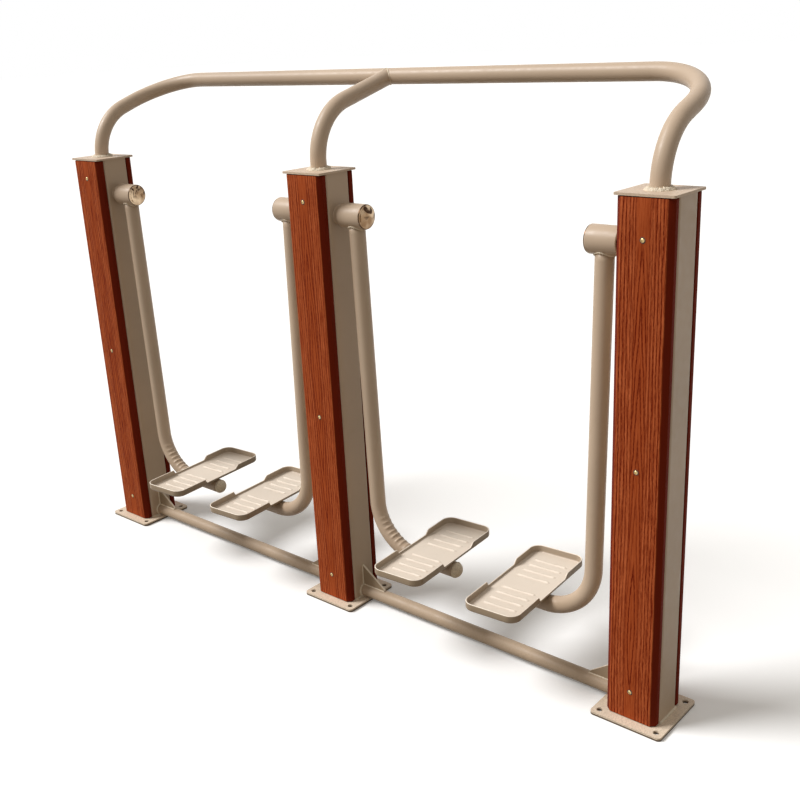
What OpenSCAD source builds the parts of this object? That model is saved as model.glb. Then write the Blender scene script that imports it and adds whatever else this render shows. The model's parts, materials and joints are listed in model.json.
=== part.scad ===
/* [Row] */
// Distance between the centres of neighbouring posts
post_pitch = 900; // [880:10:1200]

/* [Posts] */
// Height of the cap plate's top above the ground
post_h = 1150; // [1120:10:1300]
// Post tube width along the row
post_w = 120; // [110:5:150]
// Post tube depth, front to back
post_d = 80; // [70:5:100]
// Post tube wall
post_wall = 4; // [3:0.5:6]
// Outer corner radius of the post tube
post_corner_r = 8; // [6.5:0.5:10]
// Cap plate thickness
cap_t = 5; // [4:1:8]
// Cap plate overhang past the post, along the row
cap_over_w = 4; // [2:0.5:8]
// Cap plate overhang past the planks, front and rear
cap_over_d = 1; // [0.5:0.5:4]
// Cap plate corner radius
cap_corner_r = 4; // [2:1:8]
// Base plate side
base_side = 172; // [165:1:200]
// Base plate thickness
base_t = 8; // [6:1:12]
// Base plate corner radius
base_corner_r = 9; // [6:1:20]
// Spacing of the anchor holes, both ways
anchor_pitch = 138; // [136:1:145]
// Diameter of an anchor hole
anchor_d = 14; // [10:0.5:14]

/* [Planks] */
// Plank thickness
plank_t = 22; // [18:1:28]
// Width of the bevel along each long edge, seen from the front
plank_bevel_w = 11; // [6:1:16]
// Depth of the bevel, seen from the side
plank_bevel_d = 10; // [5:1:14]
// Gap left at each end of a plank
plank_end_gap = 2; // [1:0.5:5]
// Distance from a plank's lower end to its bottom screw
screw_margin = 67; // [40:1:120]
// Height of the left post's middle screws
left_screw_mid = 568; // [400:1:700]
// Height of the middle post's middle screws
middle_screw_mid = 531; // [400:1:700]
// Height of the right post's middle screws
right_screw_mid = 595; // [400:1:700]
// Distance from a plank's upper end to its top screw on the left post
left_screw_top = 50; // [40:1:120]
// Distance from a plank's upper end to its top screw on the middle post
middle_screw_top = 63; // [40:1:120]
// Distance from a plank's upper end to its top screw on the right post
right_screw_top = 79; // [40:1:120]
// Screw head diameter
screw_head_d = 9; // [8:0.5:14]
// Screw head height
screw_head_h = 3; // [2:0.5:4]
// Screw shank diameter
screw_d = 4.8; // [4:0.1:6]
// Length of shank past the post wall
screw_past_wall = 6; // [3:1:12]

/* [Handrail] */
// Outer diameter of the handrail tube
rail_d = 40; // [34:0.5:48]
// Handrail tube wall
rail_wall = 2.5; // [2:0.5:4]
// Length of the end risers' upright stubs above the cap plate
riser_stub = 2; // [1.5:0.5:40]
// Distance of the rail's centre line behind the posts' centre line
rail_back = 272; // [262:1:300]
// Angle of the end risers' backward bend
riser_bend = 70; // [66:1:71]
// Centre-line radius of the end risers' bend
riser_bend_r = 140; // [135:1:150]
// Centre-line radius of the corner bend into the rail
rail_corner_r = 160; // [120:1:165]
// Angle of the middle riser's backward bend
middle_bend = 75; // [74:1:78]
// Centre-line radius of the middle riser's bend
middle_bend_r = 139; // [120:1:142]

/* [Ground tubes] */
// Outer diameter of a ground tube
ground_d = 34; // [30:0.5:42]
// Ground tube wall
ground_wall = 3; // [2:0.5:4]
// Gusset length along the ground tube
gusset_l = 76; // [50:1:90]
// Gusset height up the post
gusset_h = 57; // [40:1:90]
// Gusset thickness
gusset_t = 6; // [4:1:10]
// Blunt height of the gusset's tip
gusset_tip = 3; // [1:0.5:8]

/* [Pivots] */
// Height of the pivot axis
pivot_h = 1045; // [1020:5:1060]
// Gap between the post's side and the hub's inner end
hub_gap = 16; // [4:0.5:18]
// Hub length
hub_l = 70; // [66:1:100]
// Hub outer diameter
hub_d = 60; // [58:0.5:70]
// Hub wall
hub_wall = 4; // [3:0.5:5]
// Axle diameter through the post and under the seal
axle_d = 30; // [28:0.5:32]
// Axle diameter under the bearings
journal_d = 25; // [22:0.5:26]
// Axle diameter at its threaded end
thread_d = 20; // [16:0.5:20]
// Length of a bearing
bearing_l = 15; // [13:0.5:16]
// Diameter of a bearing ball
ball_d = 7.9; // [7:0.1:9]
// Number of balls in a bearing
ball_n = 9; // [7:1:9]
// Clearance of a ball in its grooves
ball_clear = 0.05; // [0.02:0.01:0.1]
// Seal depth inside the hub
seal_in = 5; // [4:0.5:7]
// Outer diameter of the seal's lip between the hub and the post
seal_lip_d = 44; // [38:1:48]
// Clearance between the seal and the axle
seal_clear = 0.3; // [0.2:0.05:0.5]
// Thickness of the axle washer
washer_t = 3; // [2:0.5:4]
// Diameter of the axle washer
washer_d = 36; // [32:1:40]
// Width of the axle nut across its flats
nut_af = 30; // [26:1:34]
// Length of the axle nut
nut_l = 9; // [8:0.5:10]
// Thickness of the hub cap's rim
cap_rim_t = 2; // [1.5:0.5:3]
// Height of the hub cap's dome
cap_dome_h = 4; // [3:0.5:8]
// Depth of the hub cap's spigot inside the hub
cap_spigot_l = 8; // [5:1:9]

/* [Swing arms] */
// Outer diameter of the arm tube
arm_d = 40; // [34:0.5:42]
// Arm tube wall
arm_wall = 3; // [2:0.5:4]
// Distance of the arm from the post's centre at pivot height
arm_x = 114; // [108:1:120]
// Lean of the arm's long leg towards the bay
arm_lean = 1.2; // [0:0.1:2]
// Centre-line radius of the arm's bend
arm_bend_r = 126; // [100:1:130]
// Height of the centre line of the arm's short leg
foot_h = 184; // [170:1:240]
// Distance of the arm's end from the post's centre
arm_end_x = 380; // [360:1:386]
// Diameter of the end plug's flange
plug_d = 41; // [40:0.5:50]
// Thickness of the end plug's flange
plug_t = 2; // [1:0.5:4]
// Height of the end plug's dome
plug_dome_h = 15; // [2:0.5:18]
// Length of the end plug inside the tube
plug_in = 14; // [8:1:25]

/* [Pedals] */
// Distance of the pedal's centre from the post's centre
pedal_x = 311; // [300:1:330]
// Pedal width
pedal_w = 142; // [130:1:160]
// Turn of every pedal about the vertical, anticlockwise as seen from above
pedal_turn = 4; // [-5:0.5:5]
// Pedal length, front to back
pedal_l = 338; // [300:1:380]
// Pedal corner radius
pedal_r = 27; // [20:1:36]
// Pedal sheet thickness
pedal_t = 3; // [2:0.5:4]
// Height of the pedal's walls at its two ends
wall_high = 20; // [16:1:32]
// Height of the pedal's walls along its waist
wall_low = 9; // [8.5:0.5:12]
// Outer radius where the pedal's floor turns up into its wall
fold_r = 6; // [4.5:0.5:8]
// Distance from the pedal's centre to the foot of the front step
front_step = 55; // [45:1:70]
// Length of the front step
front_step_l = 7; // [4:1:20]
// Distance from the pedal's centre to the foot of the rear slope
rear_step = 60; // [45:1:70]
// Length of the rear slope
rear_step_l = 18; // [6:1:30]
// Ribs in each of the pedal's two groups
rib_n = 4; // [3:1:4]
// Distance between neighbouring ribs
rib_pitch = 28; // [20:1:30]
// Distance from the pedal's centre to the first rib of a group
rib_start = 34; // [28:1:40]
// Width of a rib
rib_w = 9; // [6:0.5:12]
// Height of a rib above the floor
rib_h = 2; // [1:0.5:3]
// Length of a rib
rib_l = 90; // [60:1:104]
// Thickness of the pedal bracket
bracket_t = 4; // [3:0.5:6]
// Length of the pedal bracket along the arm
bracket_l = 92; // [80:1:100]
// Width of the pedal bracket, front to back
bracket_w = 104; // [96:1:110]
// Corner radius of the pedal bracket
bracket_r = 10; // [4:1:12]
// Spacing of the pedal studs along the arm
stud_pitch_x = 60; // [50:1:66]
// Spacing of the pedal studs, front to back
stud_pitch_y = 74; // [70:1:78]
// Diameter of a pedal stud
stud_d = 8; // [6:0.5:9]
// Width of a stud nut across its flats
stud_nut_af = 13; // [11:0.5:14]
// Length of a stud nut
stud_nut_l = 7; // [5:0.5:9]
// Diameter of the nut's flange
stud_flange_d = 17; // [15:0.5:18]
// Thickness of the nut's flange
stud_flange_t = 1.5; // [1:0.5:2.5]
// Length of stud below its nut
stud_past = 4; // [2:1:8]

/* [Hidden] */
$fn = 48;
dome_fn = 5 * $fn;
// Overrun of every cut past the face it starts from
over = 1;
// Clearance of welded, pressed and screwed seats, on the radius
seat_clear = 0.02;
// A bend's wall is thinner than the straight pipe's by this on each face
bend_thinning = 0.05;
// Clearance of a stud in its hole, on the radius
hole_clear = 0.3;

posts = ["left", "middle", "right"];
post_pieces = ["post", "base_plate", "cap_plate", "front_plank", "rear_plank"];
frame_pieces = ["plank_screws", "handrail", "middle_riser", "left_ground_tube", "right_ground_tube",
    "ground_gussets", "pivot_axles", "bearing_inner_rings", "axle_nuts"];
arms = ["left_bay_left", "left_bay_right", "right_bay_left", "right_bay_right"];
arm_pieces = ["hub", "hub_cap", "bearings", "hub_seal", "arm", "arm_plug", "pedal", "pedal_bracket",
    "pedal_studs"];

// Post that each arm hangs on, and the side of that post on which it hangs
arm_post = [0, 1, 1, 2];
arm_side = [1, -1, 1, -1];

steel_col = [0.76, 0.68, 0.58];
plank_col = [0.52, 0.22, 0.13];
bright_col = [0.75, 0.75, 0.77];
black_col = [0.08, 0.08, 0.08];

post_top = post_h - cap_t;
plank_y = post_d / 2;
plank_z = base_t + plank_end_gap;
plank_h = post_top - plank_end_gap - plank_z;
screw_mid = [left_screw_mid, middle_screw_mid, right_screw_mid];
screw_top = [left_screw_top, middle_screw_top, right_screw_top];
screw_l = plank_t + post_wall + screw_past_wall;

// A riser leaves the cap upright, bends back and climbs straight to the rail
function slope_length(r, bend) = (rail_back - r * (1 - cos(bend))) / sin(bend);
function slope_rise(r, bend) = r * sin(bend) + slope_length(r, bend) * cos(bend);
slope_l = slope_length(riser_bend_r, riser_bend);
rail_h = post_h + riser_stub + slope_rise(riser_bend_r, riser_bend);
middle_stub = rail_h - post_h - slope_rise(middle_bend_r, middle_bend);

ground_z = base_t + ground_d / 2;
ground_x = post_w / 2;
ground_l = post_pitch - post_w;

hub_x = post_w / 2 + hub_gap;
hub_end = hub_x + hub_l;
hub_bore_r = hub_d / 2 - hub_wall;
seal_bearing_gap = 1;
seal_post_gap = 1.5;
inner_bearing_x = hub_x + seal_in + seal_bearing_gap;
nut_x = hub_end - cap_rim_t - nut_l;
washer_x = nut_x - washer_t;
outer_bearing_x = washer_x - bearing_l;
thread_past_nut = 1;
axle_end = nut_x + nut_l + thread_past_nut;
// The journal stops short of the washer, so that the nut clamps the inner rings
journal_short = 0.5;
// Each bearing ring takes this share of the gap between journal and hub bore
ring_share = 0.33;
ring_gap = hub_bore_r - journal_d / 2;
inner_ring_r = journal_d / 2 + ring_gap * ring_share;
outer_ring_r = hub_bore_r - ring_gap * ring_share;
ball_r = ball_d / 2;
ball_path_r = (inner_ring_r + outer_ring_r) / 2;
spacer_wall = 3;
hub_lip = 1.5;
hub_cap_r = hub_d / 2 - hub_lip;
cap_wall = 2;

// The long leg leans from arm_x; the bend turns it into the level short leg
arm_r = arm_d / 2;
arm_turn = 90 - arm_lean;
bend_z = foot_h + arm_bend_r * (1 - sin(arm_lean));
leg_l = (pivot_h - bend_z) / cos(arm_lean);
bend_x = arm_x + leg_l * sin(arm_lean);
foot_x = bend_x + arm_bend_r * cos(arm_lean);

// The bracket is coped this deep over the arm tube
bracket_seat = 0.8;
bracket_z = foot_h + arm_r - bracket_seat;
pedal_z = bracket_z + bracket_t;
stud_l = bracket_t + stud_flange_t + stud_nut_l + stud_past;

function cap_sphere_r(r, h) = (r * r + h * h) / (2 * h);

module at_post(k) {
    translate([(k - 1) * post_pitch, 0, 0]) children();
}

module at_arm(i) {
    at_post(arm_post[i]) mirror([arm_side[i] < 0 ? 1 : 0, 0, 0]) children();
}

// Turns a shape that stands on Z so that it lies along X, starting at x on the pivot axis
module on_pivot(x) {
    translate([x, 0, pivot_h]) rotate([0, 90, 0]) children();
}

module rounded_rect(w, d, r) {
    square([w - 2 * r, d], center = true);
    square([w, d - 2 * r], center = true);
    for (x = [-1, 1], y = [-1, 1]) translate([x * (w / 2 - r), y * (d / 2 - r)]) circle(r);
}

module rounded_plate(w, d, t, r) {
    linear_extrude(t) rounded_rect(w, d, r);
}

// Low dome: the part of a sphere above its base circle of radius r
module dome(r, h) {
    big = cap_sphere_r(r, h);
    intersection() {
        translate([0, 0, h - big]) sphere(big, $fn = dome_fn);
        cylinder(h = h, r = r);
    }
}

module washer(r_out, r_in, t) {
    difference() {
        cylinder(h = t, r = r_out);
        translate([0, 0, -over]) cylinder(h = t + 2 * over, r = r_in);
    }
}

module hex_nut(af, r_in, l) {
    difference() {
        cylinder(h = l, r = af / 2 / cos(30), $fn = 6);
        translate([0, 0, -over]) cylinder(h = l + 2 * over, r = r_in);
    }
}

module pipe_section(d, wall) {
    difference() {
        circle(d = d);
        circle(d = d - 2 * wall);
    }
}

// Straight pipe along +Z, lapped over a bend at the ends named in laps; the children go on from its far end
module pipe(d, wall, l, laps = [0, 0]) {
    start = laps[0] * over;
    translate([0, 0, -start]) linear_extrude(l + start + laps[1] * over) pipe_section(d, wall);
    translate([0, 0, l]) children();
}

// Bend that arrives along +Z and turns towards +Y; the children go on from its end along +Z
module pipe_bend(d, wall, r, angle) {
    translate([0, r, 0]) rotate([90, 0, -90]) {
        rotate_extrude(angle = angle) translate([r, 0])
            pipe_section(d - 2 * bend_thinning, wall - 2 * bend_thinning);
        rotate([0, 0, angle]) translate([r, 0, 0]) rotate([-90, 0, 0]) rotate([0, 0, 90]) children();
    }
}

// Every plank screw's place on its plank's outer face, looking outwards along +Z
module at_screws(k) {
    top = plank_z + plank_h - screw_top[k];
    for (side = [0, 180], z = [plank_z + screw_margin, screw_mid[k], top]) {
        at_post(k) rotate([0, 0, side]) translate([0, -plank_y - plank_t, z]) rotate([90, 0, 0])
            children();
    }
}

module post(k) {
    color(steel_col) difference() {
        at_post(k) translate([0, 0, base_t]) linear_extrude(post_top - base_t) difference() {
            rounded_rect(post_w, post_d, post_corner_r);
            rounded_rect(post_w - 2 * post_wall, post_d - 2 * post_wall, post_corner_r - post_wall);
        }
        at_screws(k) translate([0, 0, -screw_l]) cylinder(h = screw_l, d = screw_d + 2 * seat_clear);
        for (i = [0 : len(arms) - 1]) {
            if (arm_post[i] == k) at_arm(i) on_pivot(post_w / 2 - post_wall - over)
                cylinder(h = post_wall + 2 * over, d = axle_d + 2 * seat_clear);
        }
    }
}

module base_plate(k) {
    color(steel_col) at_post(k) linear_extrude(base_t) difference() {
        rounded_rect(base_side, base_side, base_corner_r);
        for (x = [-1, 1], y = [-1, 1]) translate([x, y] * anchor_pitch / 2) circle(d = anchor_d);
    }
}

module cap_plate(k) {
    color(steel_col) at_post(k) translate([0, 0, post_top]) rounded_plate(post_w + 2 * cap_over_w,
        post_d + 2 * (plank_t + cap_over_d), cap_t, cap_corner_r);
}

// Board with both long outer edges bevelled, its back on the post's face
module plank(k, side) {
    half = post_w / 2;
    color(plank_col) difference() {
        at_post(k) rotate([0, 0, side]) translate([0, -plank_y, plank_z]) linear_extrude(plank_h)
            polygon([[-half, 0], [half, 0], [half, plank_bevel_d - plank_t],
                [half - plank_bevel_w, -plank_t], [plank_bevel_w - half, -plank_t],
                [-half, plank_bevel_d - plank_t]]);
        at_screws(k) translate([0, 0, -plank_t - over])
            cylinder(h = plank_t + 2 * over, d = screw_d + 2 * hole_clear);
    }
}

module plank_screws() {
    color(bright_col) for (k = [0 : len(posts) - 1]) at_screws(k) {
        dome(screw_head_d / 2, screw_head_h);
        translate([0, 0, -screw_l]) cylinder(h = screw_l, d = screw_d);
    }
}

// Upright stub, backward bend and slope; the children go on from the slope's end
module riser(stub, r, bend, slope, laps) {
    translate([0, 0, post_h]) pipe(rail_d, rail_wall, stub, [0, 1])
        pipe_bend(rail_d, rail_wall, r, bend)
        pipe(rail_d, rail_wall, slope, laps) children();
}

module handrail_half() {
    at_post(0) riser(riser_stub, riser_bend_r, riser_bend, slope_l - rail_corner_r, [1, 1])
        rotate([0, 0, -90]) pipe_bend(rail_d, rail_wall, rail_corner_r, 90);
}

module handrail() {
    straight = 2 * (post_pitch - rail_corner_r);
    color(steel_col) {
        handrail_half();
        mirror([1, 0, 0]) handrail_half();
        translate([-straight / 2, rail_back, rail_h]) rotate([90 - riser_bend, 0, 0]) rotate([0, 90, 0])
            pipe(rail_d, rail_wall, straight, [1, 1]);
    }
}

module middle_riser() {
    color(steel_col) difference() {
        at_post(1) riser(middle_stub, middle_bend_r, middle_bend,
            slope_length(middle_bend_r, middle_bend), [1, 0]);
        translate([-rail_d, rail_back, rail_h]) rotate([0, 90, 0])
            cylinder(h = 2 * rail_d, d = rail_d + 2 * seat_clear);
    }
}

module ground_tube(k) {
    color(steel_col) at_post(k) translate([ground_x, 0, ground_z]) rotate([0, 90, 0])
        pipe(ground_d, ground_wall, ground_l);
}

module ground_gussets() {
    top = ground_d / 2;
    color(steel_col) for (i = [0 : len(arms) - 1]) at_arm(i) translate([ground_x, 0, ground_z])
        difference() {
            translate([0, gusset_t / 2, 0]) rotate([90, 0, 0]) linear_extrude(gusset_t)
                polygon([[0, 0], [gusset_l, 0], [gusset_l, top + gusset_tip], [0, top + gusset_h]]);
            translate([-over, 0, 0]) rotate([0, 90, 0])
                cylinder(h = gusset_l + 2 * over, d = ground_d + 2 * seat_clear);
        }
}

// Stepped axle from x_start outwards: full size, journal for the bearings, thread for the nut
module axle_half(x_start) {
    on_pivot(x_start) cylinder(h = inner_bearing_x - x_start, d = axle_d);
    on_pivot(inner_bearing_x) cylinder(h = washer_x - journal_short - inner_bearing_x, d = journal_d);
    on_pivot(washer_x - journal_short) cylinder(h = axle_end - washer_x + journal_short, d = thread_d);
}

module pivot_axles() {
    far_wall = post_wall - post_w / 2;
    color(bright_col) {
        at_arm(0) axle_half(far_wall);
        at_arm(3) axle_half(far_wall);
        for (i = [1, 2]) at_arm(i) axle_half(0);
    }
}

// Half of a bearing's section, grooved for the balls
module bearing_ring(r_in, r_out) {
    rotate_extrude() difference() {
        translate([r_in, 0]) square([r_out - r_in, bearing_l]);
        translate([ball_path_r, bearing_l / 2]) circle(ball_r + ball_clear);
    }
}

module bearing_inner_rings() {
    inner_end = inner_bearing_x + bearing_l;
    journal_r = journal_d / 2 + seat_clear;
    color(bright_col) for (i = [0 : len(arms) - 1]) at_arm(i) {
        for (x = [inner_bearing_x, outer_bearing_x]) on_pivot(x) bearing_ring(journal_r, inner_ring_r);
        on_pivot(inner_end) washer(journal_r + spacer_wall, journal_r, outer_bearing_x - inner_end);
    }
}

module axle_nuts() {
    color(bright_col) for (i = [0 : len(arms) - 1]) at_arm(i) {
        on_pivot(washer_x) washer(washer_d / 2, thread_d / 2 + hole_clear, washer_t);
        on_pivot(nut_x) hex_nut(nut_af, thread_d / 2 + seat_clear, nut_l);
    }
}

module hub(i) {
    color(steel_col) at_arm(i) on_pivot(hub_x) pipe(hub_d, hub_wall, hub_l);
}

// Domed sheet cap: rim on the hub's end face, spigot inside the hub
module hub_cap(i) {
    spigot_r = hub_bore_r - seat_clear;
    hollow_r = spigot_r - cap_wall;
    color(bright_col) at_arm(i) on_pivot(hub_end) {
        difference() {
            union() {
                cylinder(h = cap_rim_t, r = hub_cap_r);
                translate([0, 0, cap_rim_t]) dome(hub_cap_r, cap_dome_h);
                translate([0, 0, -cap_spigot_l]) cylinder(h = cap_spigot_l, r = spigot_r);
            }
            translate([0, 0, -cap_spigot_l - over]) cylinder(h = cap_spigot_l + over, r = hollow_r);
            dome(hollow_r, cap_dome_h);
        }
    }
}

module bearings(i) {
    color(bright_col) at_arm(i) for (x = [inner_bearing_x, outer_bearing_x]) on_pivot(x) {
        bearing_ring(outer_ring_r, hub_bore_r - seat_clear);
        for (b = [0 : ball_n - 1]) {
            rotate([0, 0, b * 360 / ball_n]) translate([ball_path_r, 0, bearing_l / 2]) sphere(ball_r);
        }
    }
}

// Rubber ring: a lip that fills the gap to the post and a body pressed into the hub
module hub_seal(i) {
    start = post_w / 2 + seal_post_gap;
    r_in = axle_d / 2 + seal_clear;
    color(black_col) at_arm(i) {
        on_pivot(start) washer(seal_lip_d / 2, r_in, hub_x - start);
        on_pivot(hub_x) washer(hub_bore_r - seat_clear, r_in, seal_in);
    }
}

module arm(i) {
    color(steel_col) at_arm(i) difference() {
        translate([arm_end_x, 0, foot_h]) rotate([0, -90, 0]) rotate([0, 0, -90])
            pipe(arm_d, arm_wall, arm_end_x - foot_x, [0, 1])
            pipe_bend(arm_d, arm_wall, arm_bend_r, arm_turn)
            pipe(arm_d, arm_wall, leg_l, [1, 0]);
        on_pivot(hub_x) cylinder(h = hub_l, d = hub_d + 2 * seat_clear);
    }
}

module arm_plug(i) {
    color(steel_col) at_arm(i) translate([arm_end_x, 0, foot_h]) rotate([0, 90, 0]) {
        translate([0, 0, -plug_in]) cylinder(h = plug_in, r = arm_r - arm_wall - seat_clear);
        cylinder(h = plug_t, d = plug_d);
        translate([0, 0, plug_t]) dome(plug_d / 2, plug_dome_h);
    }
}

// Section of the pedal's edge: floor to the left, folded up into a wall whose outer face is at x = 0
module pedal_edge() {
    translate([-pedal_r, 0]) square([pedal_r - fold_r, pedal_t]);
    translate([-pedal_t, fold_r]) square([pedal_t, wall_high - fold_r]);
    intersection() {
        difference() {
            translate([-fold_r, fold_r]) circle(fold_r);
            translate([-fold_r, fold_r]) circle(fold_r - pedal_t);
        }
        translate([-fold_r, 0]) square(fold_r);
    }
}

module pedal_side(w, l) {
    translate([w / 2, l / 2 - pedal_r, 0]) rotate([90, 0, 0]) linear_extrude(l - 2 * pedal_r)
        pedal_edge();
}

module pedal_corner() {
    translate([pedal_w / 2 - pedal_r, pedal_l / 2 - pedal_r, 0]) rotate_extrude(angle = 90)
        translate([pedal_r, 0]) pedal_edge();
}

// Pressed rib: a bar with a round back and round ends, sunk so that rib_h stands above the floor
module rib() {
    r = cap_sphere_r(rib_w / 2, rib_h);
    half = rib_l / 2 - rib_w / 2;
    intersection() {
        translate([0, 0, rib_h - r]) {
            translate([-half, 0, 0]) rotate([0, 90, 0]) cylinder(h = 2 * half, r = r);
            for (x = [-half, half]) translate([x, 0, 0]) sphere(r);
        }
        translate([-rib_l / 2, -rib_w / 2, 0]) cube([rib_l, rib_w, rib_h]);
    }
}

module pedal(i) {
    reach = pedal_w / 2 + over;
    rear = [rear_step, rear_step + rear_step_l];
    front = [-front_step - front_step_l, -front_step];
    color(steel_col) at_arm(i) translate([pedal_x, 0, pedal_z])
        rotate([0, 0, arm_side[i] * pedal_turn]) {
        difference() {
            union() {
                linear_extrude(pedal_t)
                    square([pedal_w - 2 * pedal_r, pedal_l - 2 * pedal_r], center = true);
                for (turn = [0, 180]) rotate([0, 0, turn]) {
                    pedal_side(pedal_w, pedal_l);
                    rotate([0, 0, 90]) pedal_side(pedal_l, pedal_w);
                    pedal_corner();
                    mirror([1, 0, 0]) pedal_corner();
                }
            }
            translate([-reach, 0, 0]) rotate([90, 0, 90]) linear_extrude(2 * reach)
                polygon([[front[0], wall_high + over], [front[0], wall_high], [front[1], wall_low],
                    [rear[0], wall_low], [rear[1], wall_high], [rear[1], wall_high + over]]);
        }
        for (side = [-1, 1], n = [0 : rib_n - 1]) {
            translate([0, side * (rib_start + n * rib_pitch), pedal_t]) rib();
        }
    }
}

module at_studs() {
    for (x = [-1, 1], y = [-1, 1]) {
        translate([pedal_x + x * stud_pitch_x / 2, y * stud_pitch_y / 2, pedal_z]) children();
    }
}

module pedal_bracket(i) {
    color(steel_col) at_arm(i) difference() {
        translate([pedal_x, 0, bracket_z]) rounded_plate(bracket_l, bracket_w, bracket_t, bracket_r);
        translate([pedal_x - bracket_l, 0, foot_h]) rotate([0, 90, 0])
            cylinder(h = 2 * bracket_l, d = arm_d + 2 * seat_clear);
        at_studs() translate([0, 0, -bracket_t - over])
            cylinder(h = bracket_t + 2 * over, d = stud_d + 2 * hole_clear);
    }
}

// Studs welded under the pedal, each with a flanged nut below the bracket
module pedal_studs(i) {
    bore_r = stud_d / 2 + seat_clear;
    color(black_col) at_arm(i) at_studs() {
        translate([0, 0, -stud_l]) cylinder(h = stud_l, d = stud_d);
        translate([0, 0, -bracket_t - stud_flange_t]) washer(stud_flange_d / 2, bore_r, stud_flange_t);
        translate([0, 0, -bracket_t - stud_flange_t - stud_nut_l])
            hex_nut(stud_nut_af, bore_r, stud_nut_l);
    }
}

for (k = [0 : len(posts) - 1]) {
    post(k);
    base_plate(k);
    cap_plate(k);
    plank(k, 0);
    plank(k, 180);
}
plank_screws();
handrail();
middle_riser();
ground_tube(0);  // left_ground_tube
ground_tube(1);  // right_ground_tube
ground_gussets();
pivot_axles();
bearing_inner_rings();
axle_nuts();
for (i = [0 : len(arms) - 1]) {
    hub(i);
    hub_cap(i);
    bearings(i);
    hub_seal(i);
    arm(i);
    arm_plug(i);
    pedal(i);
    pedal_bracket(i);
    pedal_studs(i);
}
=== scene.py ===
import json
import math

import bmesh
import bpy
import numpy as np
from mathutils import Matrix


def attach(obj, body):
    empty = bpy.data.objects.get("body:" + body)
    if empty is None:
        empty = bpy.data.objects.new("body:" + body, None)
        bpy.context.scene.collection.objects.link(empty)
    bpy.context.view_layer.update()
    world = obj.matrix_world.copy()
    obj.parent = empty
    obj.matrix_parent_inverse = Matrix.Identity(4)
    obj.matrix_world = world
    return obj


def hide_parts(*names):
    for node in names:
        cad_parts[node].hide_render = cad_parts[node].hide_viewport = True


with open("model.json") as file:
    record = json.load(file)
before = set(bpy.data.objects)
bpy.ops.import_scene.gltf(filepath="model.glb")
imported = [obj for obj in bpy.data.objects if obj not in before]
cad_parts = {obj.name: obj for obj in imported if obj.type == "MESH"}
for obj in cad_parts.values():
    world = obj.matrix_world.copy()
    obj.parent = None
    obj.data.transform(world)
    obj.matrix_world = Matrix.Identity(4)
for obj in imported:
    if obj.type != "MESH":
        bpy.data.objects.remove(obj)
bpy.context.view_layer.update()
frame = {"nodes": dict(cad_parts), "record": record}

# shared places in metres: the posts' pitch and top, the face of their planks and the arms' pivots
postPitch = 0.9
postTop = 1.150
plankFaceY = 0.062
pivotZ = 1.045
postX = {"left": -postPitch, "middle": 0.0, "right": postPitch}
# each arm's post and the side it hangs on
arms = {
    "left_bay_left": {"post": "left", "side": 1},
    "left_bay_right": {"post": "middle", "side": -1},
    "right_bay_left": {"post": "middle", "side": 1},
    "right_bay_right": {"post": "right", "side": -1},
}

# sRGB colours, 0 to 255
colours = {
    "coat": (194, 172, 149),
    "coatPale": (222, 208, 192),
    # painted shade on the trays' inner and outer walls
    "trayInsideShade": (168, 151, 131),
    "trayOutsideShade": (150, 131, 108),
    # painted highlight on the trays' rolled rims
    "trayRimHighlight": (244, 232, 216),
    # painted light: lighter copies of the coat for the base plates and the cap plates
    "plateTopLit": (222, 204, 182),
    "capTopLit": (206, 184, 162),
    # painted shade on the base plates' lower sides
    "plateSideShade": (98, 80, 62),
    "smudge": (214, 206, 196),
    # painted shade on the gussets' faces and a painted highlight on their cut edges
    "gussetFaceShade": (158, 138, 114),
    "gussetEdgeHighlight": (226, 210, 188),
    # painted shade: a darker copy of the coat for the ground tubes
    "shadedTubeCoat": (180, 158, 134),
    # painted shade on the arms' feet under the trays
    "footShade": (138, 112, 86),
    # painted light: a paler copy of the coat for the arms' end plugs
    "litPlugCoat": (212, 196, 172),
    # painted highlight: a paler copy of the coat for the weld beads
    "weld": (226, 212, 190),
    "plankFace": (159, 70, 31),
    "plankBright": (197, 104, 60),
    "plankGrain": (92, 12, 0),
    "plankEdge": (114, 33, 12),
    # painted reflection: the caps' tan, paler patches and dark strokes
    "chrome": (136, 108, 80),
    "chromePaleReflection": (204, 180, 150),
    "chromeDarkReflection": (62, 42, 28),
    "brass": (206, 182, 130),
    "steel": (190, 190, 194),
    "rubber": (26, 25, 24),
    "blackSteel": (38, 36, 34),
    "floorBounce": (126, 117, 102),
}


# sRGB to linear light: c / 12.92 near black, else ((c + 0.055) / 1.055)^2.4; gain comes first
def linear(name, gain=1.0):
    c = np.array(colours[name], float) / 255 * gain
    c = np.where(c <= 0.04045, c / 12.92, ((c + 0.055) / 1.055) ** 2.4)
    return (*np.clip(c, 0, 1).tolist(), 1.0)


# shader nodes
def addNode(tree, kind, settings=None, inputs=None):
    made = tree.nodes.new("ShaderNode" + kind)
    for key, value in (settings or {}).items():
        setattr(made, key, value)
    for key, value in (inputs or {}).items():
        if isinstance(value, bpy.types.NodeSocket):
            tree.links.new(value, made.inputs[key])
        else:
            made.inputs[key].default_value = value
    return made


# the tree that holds the first socket among some values
def treeOf(*values):
    return next(v.id_data for v in values if isinstance(v, bpy.types.NodeSocket))


def mathNode(operation, a, b=0.0):
    return addNode(treeOf(a, b), "Math", {"operation": operation}, {0: a, 1: b}).outputs[0]


def plus(a, b):
    return mathNode("ADD", a, b)


def minus(a, b):
    return mathNode("SUBTRACT", a, b)


def times(a, b):
    return mathNode("MULTIPLY", a, b)


def noise(vector, scale, detail=3.0, roughness=0.5):
    inputs = {"Vector": vector, "Scale": scale, "Detail": detail, "Roughness": roughness}
    return addNode(treeOf(vector), "TexNoise", None, inputs).outputs[0]


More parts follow.
